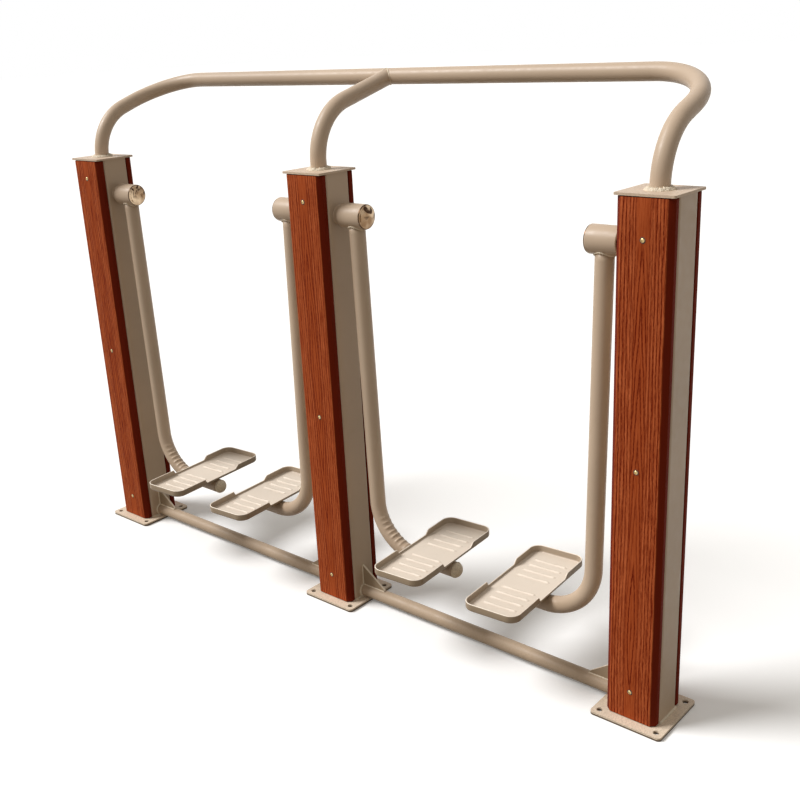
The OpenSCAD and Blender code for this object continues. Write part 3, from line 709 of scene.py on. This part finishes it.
# the arm's centre line, from the hub down: a leaning line, a bend about (footX, footZ + R), a level line;
# with it the direction to the bend's centre, the inner wall's arc length and that arc's full length
def armCentre():
    lean, r, gap = arm["lean"], arm["bendRadius"], arm["joinGap"]
    bendZ = arm["footZ"] + r * (1 - math.sin(lean))
    legLength = (pivotZ - bendZ) / math.cos(lean)
    bendX = arm["x"] + legLength * math.sin(lean)
    footX = bendX + r * math.cos(lean)
    along = np.linspace(arm["legFrom"], legLength - gap, arm["legRows"])
    along = np.concatenate([np.array(arm["legTop"]), along])
    leg = [arm["x"] + along * math.sin(lean), np.zeros_like(along), pivotZ - along * math.cos(lean)]
    leg = np.stack(leg, -1)
    sweep = np.linspace(0, math.pi / 2 - lean, arm["bendRows"])
    turn = math.pi + lean + sweep
    bend = [footX + r * np.cos(turn), np.zeros_like(turn), arm["footZ"] + r + r * np.sin(turn)]
    bend = np.stack(bend, -1)
    level = np.linspace(footX + gap, arm["endX"], arm["footRows"])
    foot = np.stack([level, np.zeros_like(level), np.full_like(level, arm["footZ"])], -1)
    inward = np.concatenate([np.tile([math.cos(lean), 0, math.sin(lean)], (len(leg), 1)),
                             np.stack([-np.cos(turn), np.zeros_like(turn), -np.sin(turn)], -1),
                             np.tile([0, 0, 1.0], (len(foot), 1))])
    inner = r - arm["radius"]
    arc = np.concatenate([np.full(len(leg), -1.0), sweep * inner, np.full(len(foot), -1.0)])
    return np.concatenate([leg, bend, foot]), inward, arc, (math.pi / 2 - lean) * inner


# how far the wall stands out inside the bend, where bending squeezed it: (height * the ridges, each a bell
# along the arc, - hollow * a flat-topped bell along the bend) * a flat-topped bell across the tube
def wrinkles(arc, arcLength, turn, seed):
    draw = np.random.default_rng(seed)
    middle = arcLength * wrinkle["middle"]
    ridges = np.zeros(len(arc))
    last = wrinkle["count"] - 1
    for n in range(wrinkle["count"]):
        at = middle + (n - last / 2) * wrinkle["pitch"] + wrinkle["stray"] * draw.standard_normal()
        fade = 1 - wrinkle["fade"] * abs(2 * n / last - 1) ** 2
        tall = fade * (wrinkle["least"] + wrinkle["differ"] * draw.random())
        ridges += tall * np.exp(-(((arc - at) / (wrinkle["pitch"] * wrinkle["wide"])) ** 2))
    window = np.exp(-((((turn + np.pi) % (2 * np.pi) - np.pi) / wrinkle["window"]) ** 4))
    inBend = (arc >= 0).astype(float)
    sunk = np.exp(-(((arc - middle) / (arcLength * wrinkle["hollowReach"])) ** 4)) * inBend
    raised = wrinkle["height"] * (ridges * inBend)[:, None] * window
    return raised - wrinkle["hollow"] * sunk[:, None] * window


# tube about the centre line, its top ring let into the hub's underside; only arms with side 1 are wrinkled
def makeArm(name, x0, side, seed):
    centre, inward, arc, arcLength = armCentre()
    turn = fullTurn(arm["around"])
    radius = np.full((len(arc), len(turn)), arm["radius"])
    if side > 0:
        radius = radius + wrinkles(arc, arcLength, turn, seed)
    rings = centre[:, None] + radius[..., None] * ringDirections(turn, inward, np.array([[0, 1.0, 0]]))
    depth = np.sqrt((hub["radius"] - arm["hubSunk"]) ** 2 - (arm["radius"] * np.sin(turn)) ** 2)
    rings[0, :, 0] += depth * math.tan(arm["lean"])
    rings[0, :, 2] = pivotZ - depth
    rings[..., 0] = x0 + side * rings[..., 0]
    grid = capped(rings)
    makePiece(f"{name}ArmTube", [grid], name + "_swing", "powder_coat", armCoat, [name + "_arm"])


# the hub: a turned sleeve with rounded rims, its bore open for a short way at both ends
def makeHub(name, x0, side):
    a, b, r, bore, e = (hub[key] for key in ("start", "end", "radius", "bore", "round"))
    profile = [(a + hub["lip"], bore), (a, bore), *fillet((a + e, r - e), e, 180, 90),
               *fillet((b - e, r - e), e, 90, 0), (b, bore), (b - hub["lip"], bore), (a + hub["lip"], bore)]
    grid = turned(profile, (x0, 0, pivotZ), side)
    makePiece(f"{name}HubShell", [grid], name + "_swing", "powder_coat", stands=[name + "_hub"], sharp=50)


cap = {"radius": 0.0292, "rim": 0.002, "round": 0.0009, "dome": 0.004, "domeShare": 0.98, "dish": 0.0007,
       "dishAt": 0.9, "dishWide": 0.06, "spigot": 0.004, "spigotStep": 0.0026, "spigotEnd": 0.004, "rows": 22}


# the cap: a low rounded step, then a shallow dome whose height falls as 1 - share^2 and that is dished a
# little at its foot, by a bell about dishAt
def makeCap(name, x0, side):
    r, rim, e, b = cap["radius"], cap["rim"], cap["round"], hub["end"]
    face = []
    for share in np.linspace(1, 0, cap["rows"]):
        dish = cap["dish"] * math.exp(-(((share - cap["dishAt"]) / cap["dishWide"]) ** 2))
        height = b + rim + cap["dome"] * (1 - share**2) * cap["domeShare"] - dish
        face.append((height, (r - e) * share))
    step = r - cap["spigotStep"]
    profile = [(b - cap["spigot"], r - cap["spigotEnd"]), (b - cap["spigot"], step), (b, step), (b, r),
               *fillet((b + rim - e, r - e), e, 90, 10), *face]
    grid = capped(turned(profile, (x0, 0, pivotZ), side))
    makePiece(f"{name}ChromeCap", [grid], name + "_swing", "hub_chrome", stands=[name + "_hub_cap"],
              sharp=50)


collar = {"start": 0.0602, "end": 0.0725, "radius": 0.0229, "bore": 0.0221, "foot": 0.0016, "round": 0.0006}


# painted collar on the post round the seal's lip: radius eases in at the post and at the free edge
def makeCollar(name, x0, side):
    a, b, r, bore, foot, e = (collar[key] for key in ("start", "end", "radius", "bore", "foot", "round"))
    flare = [(a + foot - u, r + foot - v) for v, u in fillet((0, 0), foot, 0, 90)][::-1]
    profile = [(a, bore), *flare, *fillet((b - e, r - e), e, 90, 0), (b, bore), (a, bore)]
    grid = turned(profile, (x0, 0, pivotZ), side)
    makePiece(f"{name}PivotCollar", [grid], "frame", "powder_coat", sharp=50)


plug = {"radius": 0.0205, "flange": 0.002, "dome": 0.015, "round": 0.0008, "spigot": 0.006,
        "spigotRadius": 0.0165, "rows": 22}


# the plug's ball end: a cap of the sphere of radius (r^2 + dome^2) / (2 dome)
def makePlug(name, x0, side):
    r, flange, dome, e, b = plug["radius"], plug["flange"], plug["dome"], plug["round"], arm["endX"]
    ball = (r**2 + dome**2) / (2 * dome)
    lie = np.linspace(math.asin(min(1.0, r / ball)), 0, plug["rows"])
    face = [(b + flange + ball * math.cos(t) - ball + dome, ball * math.sin(t)) for t in lie]
    profile = [(b - plug["spigot"], plug["spigotRadius"]), (b, plug["spigotRadius"]), (b, r - e),
               *fillet((b + e, r - e), e, 180, 90, 4), *face]
    grid = capped(turned(profile, (x0, 0, arm["footZ"]), side))
    makePiece(f"{name}EndPlug", [grid], name + "_swing", "powder_coat", litPlugCoat,
              [name + "_arm_plug"], sharp=50)


# the pressed tray; its rim is rolled with rimRound and ends rimDrop below the wall's height
pedal = {"x": 0.311, "z": 0.2072, "halfWidth": 0.071, "halfLength": 0.169, "corner": 0.027, "sheet": 0.003,
         "high": 0.020, "low": 0.009, "fold": 0.006, "frontFoot": -0.055, "frontTop": -0.062,
         "rearFoot": 0.060, "rearTop": 0.078, "rimRound": 0.0015, "rimDrop": 0.0014, "floorEdge": 0.001,
         "floorRings": 9, "columns": 36, "rows": 142, "turn": math.radians(4.0)}
rib = {"count": 4, "first": 0.034, "pitch": 0.028, "wide": 0.0095, "rise": 0.0029, "long": 0.090,
       "narrowing": 0.25, "least": 0.001}


# cubic ease 3 t^2 - 2 t^3, held at 0 and 1
def easeStep(t):
    t = np.clip(t, 0, 1)
    return t * t * (3 - 2 * t)


# wall height along the tray: high at both ends, low at the waist, each change eased with a cubic
def wallHeight(y):
    rear = easeStep((y - pedal["rearFoot"]) / (pedal["rearTop"] - pedal["rearFoot"]))
    front = easeStep((y - pedal["frontFoot"]) / (pedal["frontTop"] - pedal["frontFoot"]))
    return pedal["low"] + (pedal["high"] - pedal["low"]) * np.maximum(rear, front)


# pressed ribs: each is a spindle with round ends; rise = cosine bell of the distance to the spindle's
# middle line, its width = full width * (1 - narrowing * the squared place along it)
def ribRise(x, y):
    rise = np.zeros_like(x)
    half = rib["long"] / 2 - rib["wide"] / 2
    width = rib["wide"] / 2 * (1 - rib["narrowing"] * (x / half) ** 2)
    for group in (-1, 1):
        for n in range(rib["count"]):
            ribY = group * (rib["first"] + n * rib["pitch"])
            away = np.hypot(np.maximum(np.abs(x) - half, 0), y - ribY)
            t = np.clip(away / np.maximum(width, rib["least"]), 0, 1)
            rise += rib["rise"] * 0.5 * (1 + np.cos(np.pi * t))
    return rise


# margins in metres at the wall, the fold and the rim, and the shares of a rib's rise at its foot and top
paint = {"wallMargin": 0.0014, "undersideShare": 0.85, "foldFrom": 0.0004, "foldLess": 0.0008,
         "rimMargin": 0.0003, "rimBelow": 0.0008, "topFrom": 0.3, "topSpan": 0.5, "footFrom": 0.005,
         "footTo": 0.25}


# writes the tone of the tray's coat, with its painted shade and highlights, on each point, as trayTone says.
# The fold's circle is centred at its radius from the wall, so the distance to it tells the skins apart
def paintTray(piece, x0, side):
    spots = np.empty(len(piece.data.vertices) * 3)
    piece.data.vertices.foreach_get("co", spots)
    x, y, z = spots.reshape(-1, 3).T
    c, s = math.cos(pedal["turn"]), math.sin(pedal["turn"])
    x = x - x0 - side * pedal["x"]
    x, y, high = x * c + y * s, y * c - x * s, z - pedal["z"]
    outX = np.maximum(np.abs(x) - pedal["halfWidth"] + pedal["corner"], 0)
    outY = np.maximum(np.abs(y) - pedal["halfLength"] + pedal["corner"], 0)
    reach = np.hypot(outX, outY)
    corner, fold, sheet = pedal["corner"], pedal["fold"], pedal["sheet"]
    flat = corner - fold
    inFold = (reach > flat) & (high < fold)
    pastMiddle = np.hypot(reach - flat, high - fold) > fold - sheet / 2
    outside = np.where(inFold, pastMiddle, reach > corner - paint["wallMargin"])
    outside |= (reach <= flat) & (high < sheet * paint["undersideShare"])
    rise = ribRise(x, y) / rib["rise"]
    # painted highlight on the rib tops and painted shade at their feet
    onFoot = (rise > paint["footFrom"]) & (rise < paint["footTo"])
    tone = trayTone["floor"] + trayTone["ribTopHighlight"] * easeStep((rise - paint["topFrom"]) / paint["topSpan"])
    tone = tone - trayTone["ribFootShade"] * onFoot
    # painted shade: the fold, the inner wall and most of all the outer skin take darker tones
    upFold = easeStep((reach - flat - paint["foldFrom"]) / (fold - sheet - paint["foldLess"]))
    tone = tone - (trayTone["floor"] - trayTone["inside"]) * upFold
    tone = np.where(outside, trayTone["outside"], tone)
    # painted highlight along the rim
    onRim = (reach > corner - sheet - paint["rimMargin"]) & (high > wallHeight(y) - paint["rimBelow"])
    tone = np.where(onRim & (high > fold), trayTone["rim"], tone)
    piece.data.attributes.new("tone", "FLOAT", "POINT").data.foreach_set("value", tone.astype(np.float32))


# tray skin: a grid over the inner rectangle plus rings around it. A point of ring k lies at the rectangle's
# nearest point plus the ring's reach, turned evenly round each corner, at the ring's own height
def traySkin(reach, height, isFloor):
    rings, columns, rows = len(reach) - 1, pedal["columns"], pedal["rows"]
    innerX, innerY = pedal["halfWidth"] - pedal["corner"], pedal["halfLength"] - pedal["corner"]
    i, j = np.meshgrid(np.arange(columns + 2 * rings + 1), np.arange(rows + 2 * rings + 1), indexing="ij")
    di = np.where(i < rings, i - rings, np.where(i > rings + columns, i - rings - columns, 0))
    dj = np.where(j < rings, j - rings, np.where(j > rings + rows, j - rings - rows, 0))
    baseX = -innerX + 2 * innerX * np.clip(i - rings, 0, columns) / columns
    baseY = -innerY + 2 * innerY * np.clip(j - rings, 0, rows) / rows
    a, b = np.abs(di), np.abs(dj)
    k = np.maximum(a, b)
    angle = np.pi / 4 * np.minimum(a, b) / np.maximum(k, 1)
    angle = np.where(a >= b, angle, np.pi / 2 - angle)
    x = baseX + reach[k] * np.cos(angle) * np.sign(di) * (a > 0)
    y = baseY + reach[k] * np.sin(angle) * np.sign(dj) * (b > 0)
    z = height[k, 0] + height[k, 1] * wallHeight(y) + isFloor[k] * ribRise(x, y)
    return np.stack([x, y, z], -1)


# rings of one skin from the middle outwards, each (reach, fixed height, share of the wall's height, share of
# the ribs): the floor, a quarter turn up the fold, the wall's top and the rim's quarter roll
def trayProfile(outer):
    skinZ = 0.0 if outer else pedal["sheet"]
    fold, bend, edge = pedal["fold"], pedal["fold"] - skinZ, pedal["corner"] - skinZ
    flat = pedal["corner"] - fold
    roll = pedal["rimRound"] if outer else -pedal["rimRound"]
    rows = [(r, skinZ, 0, r < flat - pedal["floorEdge"]) for r in np.linspace(0, flat, pedal["floorRings"])]
    for t in np.radians(np.linspace(15, 90, 6)):
        rows.append((flat + bend * math.sin(t), fold - bend * math.cos(t), 0, 0))
    rows.append((edge, -pedal["rimDrop"], 1, 0))
    for t in np.radians([30, 60, 90]):
        drop = pedal["rimRound"] * math.sin(t) - pedal["rimRound"]
        rows.append((edge - roll + roll * math.cos(t), drop, 1, 0))
    rows = np.array(rows, float)
    return rows[:, 0], rows[:, 1:3], rows[:, 3]


# both skins of the tray, turned by the pedal's angle about its own middle and set in place
def makePedal(name, x0, side):
    skins = []
    c, s = math.cos(pedal["turn"]), math.sin(pedal["turn"])
    for outer in (False, True):
        local = traySkin(*trayProfile(outer))
        x, y = side * local[..., 0], local[..., 1]
        placed = [x0 + side * pedal["x"] + x * c - y * s, x * s + y * c, local[..., 2] + pedal["z"]]
        skins.append(np.stack(placed, -1))
    piece = makePiece(f"{name}PedalTray", skins, name + "_swing", "pedal_coat", trayCoat,
                      [name + "_pedal"], sharp=60, closed=False)
    paintTray(piece, x0, side)


bracket = {"start": 0.272, "end": 0.350, "half": 0.0062, "seat": 0.0008}


# the arm's saddle on its hub, and a line along each side of the bracket on the foot
def makeArmWelds(name, x0, side, seed):
    path = saddlePath((arm["x"], 0, pivotZ), (0, 0, -1), hub["radius"] + weld["off"],
                      arm["radius"] + weld["armOff"], math.tan(arm["lean"]))
    path[:, 0] = x0 + side * path[:, 0]
    beads = [beadGrid(path, weld["hubBead"], True, seed)]
    seamZ = arm["footZ"] + arm["radius"] - bracket["seat"] - weld["off"]
    start, end = x0 + side * bracket["start"], x0 + side * bracket["end"]
    for y in (-1, 1):
        path = linePath((start, y * bracket["half"], seamZ), (end, y * bracket["half"], seamZ))
        beads.append(beadGrid(path, weld["bracketBead"], False, seed + weld["bracketSeed"] + y))
    makePiece(f"{name}ArmWelds", beads, name + "_swing", "powder_coat", litWeldCoat)


for number, (name, spec) in enumerate(arms.items()):
    x0, side = postX[spec["post"]], spec["side"]
    makeArm(name, x0, side, arm["seed"] + number)
    makeHub(name, x0, side)
    makeCap(name, x0, side)
    makeCollar(name, x0, side)
    makePlug(name, x0, side)
    makePedal(name, x0, side)
    makeArmWelds(name, x0, side, weld["armSeed"] + number)
print("swing arms done")

# floorLift is a little light of the floor's own that only the camera and mirrors see; keyAngle in degrees
setting = {"floorHalf": 60.0, "floorZ": -0.0004, "floorRoughness": 0.9, "floorLift": 0.07, "ambient": 0.38,
           "ambientTint": (1.0, 0.94, 0.85), "keyPower": 3.15, "keyAngle": 26.0,
           "keyFrom": (-0.72, -0.58, 0.95)}
white = (1.0, 1.0, 1.0, 1.0)


# 1 for what the camera and mirrors see of the floor and the sky, which makes the white background
def seenDirectly(tree):
    rays = addNode(tree, "LightPath")
    seen = mathNode("MAXIMUM", rays.outputs["Is Camera Ray"], rays.outputs["Is Glossy Ray"])
    return mathNode("MAXIMUM", seen, rays.outputs["Is Transmission Ray"])


# one large level square, white where it is seen and a warm grey where it only throws light back
def makeFloor():
    half, z = setting["floorHalf"], setting["floorZ"]
    mesh = bpy.data.meshes.new("Floor")
    corners = [(-half, -half, z), (half, -half, z), (half, half, z), (-half, half, z)]
    mesh.from_pydata(corners, [], [(0, 1, 2, 3)])
    floor = addObject("Floor", mesh)
    made, tree, shader = startMaterial("FloorPaint", setting["floorRoughness"])[:3]
    shader.inputs["Specular IOR Level"].default_value = 0.0
    seen = seenDirectly(tree)
    tree.links.new(mixColour(seen, linear("floorBounce"), white), shader.inputs["Base Color"])
    shader.inputs["Emission Color"].default_value = white
    tree.links.new(times(seen, setting["floorLift"]), shader.inputs["Emission Strength"])
    mesh.materials.append(made)


# a warm plain sky that lights the object, seen as white
def makeSky():
    world = bpy.data.worlds.new("Studio")
    bpy.context.scene.world = world
    world.use_nodes = True
    tree = world.node_tree
    tree.nodes.clear()
    tint = (*setting["ambientTint"], 1)
    plain = addNode(tree, "Background", None, {"Color": tint, "Strength": setting["ambient"]})
    pale = addNode(tree, "Background", None, {"Color": white, "Strength": 1.0})
    blend = addNode(tree, "MixShader", None, {0: seenDirectly(tree), 1: plain.outputs[0], 2: pale.outputs[0]})
    addNode(tree, "OutputWorld", None, {0: blend.outputs[0]})


# matrix of an object with its own X, Y and Z along three directions
def axesMatrix(x, y, z, place=(0, 0, 0)):
    return Matrix([[x[i], y[i], z[i], place[i]] for i in range(3)] + [[0, 0, 0, 1]])


# a soft sun that shines from a direction: its own Z lies along it and its X is level
def makeSun(name, power, angle, comesFrom):
    data = bpy.data.lights.new(name, "SUN")
    data.energy = power
    data.angle = math.radians(angle)
    lamp = addObject(name, data)
    z = np.array(comesFrom) / np.linalg.norm(comesFrom)
    x = np.cross([0, 0, 1.0], z)
    x /= np.linalg.norm(x)
    lamp.matrix_world = axesMatrix(x, np.cross(z, x), z)


# the photograph's camera: place in metres, angles in degrees, focal length in pixels of its width
view = {"place": (1.8295, -1.8145, 1.4457), "yaw": 41.516, "pitch": -19.192, "roll": -2.903,
        "focal": 1046.69, "photoWidth": 800, "sensor": 36.0}


# ahead from yaw and pitch, right level with the ground, then both right and up turned by the roll
def makeCamera():
    yaw, pitch, roll = (math.radians(view[key]) for key in ("yaw", "pitch", "roll"))
    ahead = np.array([-math.sin(yaw) * math.cos(pitch), math.cos(yaw) * math.cos(pitch), math.sin(pitch)])
    right = np.cross(ahead, [0, 0, 1.0])
    right /= np.linalg.norm(right)
    up = np.cross(right, ahead)
    data = bpy.data.cameras.new("PhotoCamera")
    data.sensor_width = view["sensor"]
    data.lens = view["focal"] / view["photoWidth"] * view["sensor"]
    camera = addObject("PhotoCamera", data)
    rolledRight = right * math.cos(roll) + up * math.sin(roll)
    rolledUp = up * math.cos(roll) - right * math.sin(roll)
    camera.matrix_world = axesMatrix(rolledRight, rolledUp, -ahead, view["place"])
    bpy.context.scene.camera = camera


makeFloor()
makeSky()
makeSun("KeyLight", setting["keyPower"], setting["keyAngle"], setting["keyFrom"])
makeCamera()
bpy.context.scene.view_settings.view_transform = "Standard"
print("floor, light and camera done")
